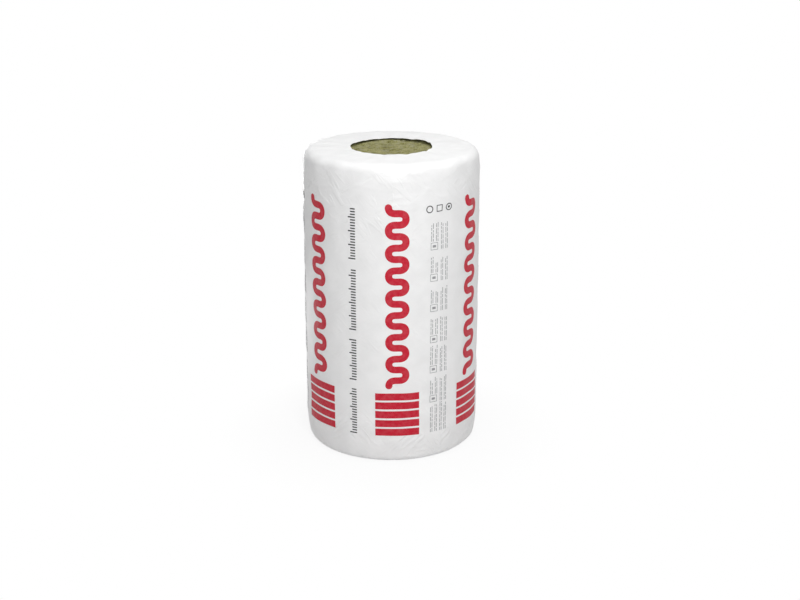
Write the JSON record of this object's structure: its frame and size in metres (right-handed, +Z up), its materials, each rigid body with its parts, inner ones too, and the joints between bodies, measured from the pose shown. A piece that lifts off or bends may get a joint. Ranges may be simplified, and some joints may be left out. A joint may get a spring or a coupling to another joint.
{
  "type": "insulation roll",
  "caption": "Upright roll of stone wool insulation in a white film sleeve with rounded shoulders and a round opening on each end, where the wound turns show.",
  "frame": {"origin": "middle of the base, on the floor the roll stands on", "axes": "+Z up along the axis of the winding; X and Y across it, with the print's middle red column near -Y"},
  "size_m": [0.582, 0.5818, 1.0016],
  "materials": {
    "stone_wool": "loose mineral fibre, cut edge of the blanket, matt",
    "white_film": "shrunk white polyethylene film, printed in red and grey, soft gloss"
  },
  "bodies": {
    "root": {"wool_roll": "stone_wool", "film_wrap": "white_film"}
  },
  "joints": []
}
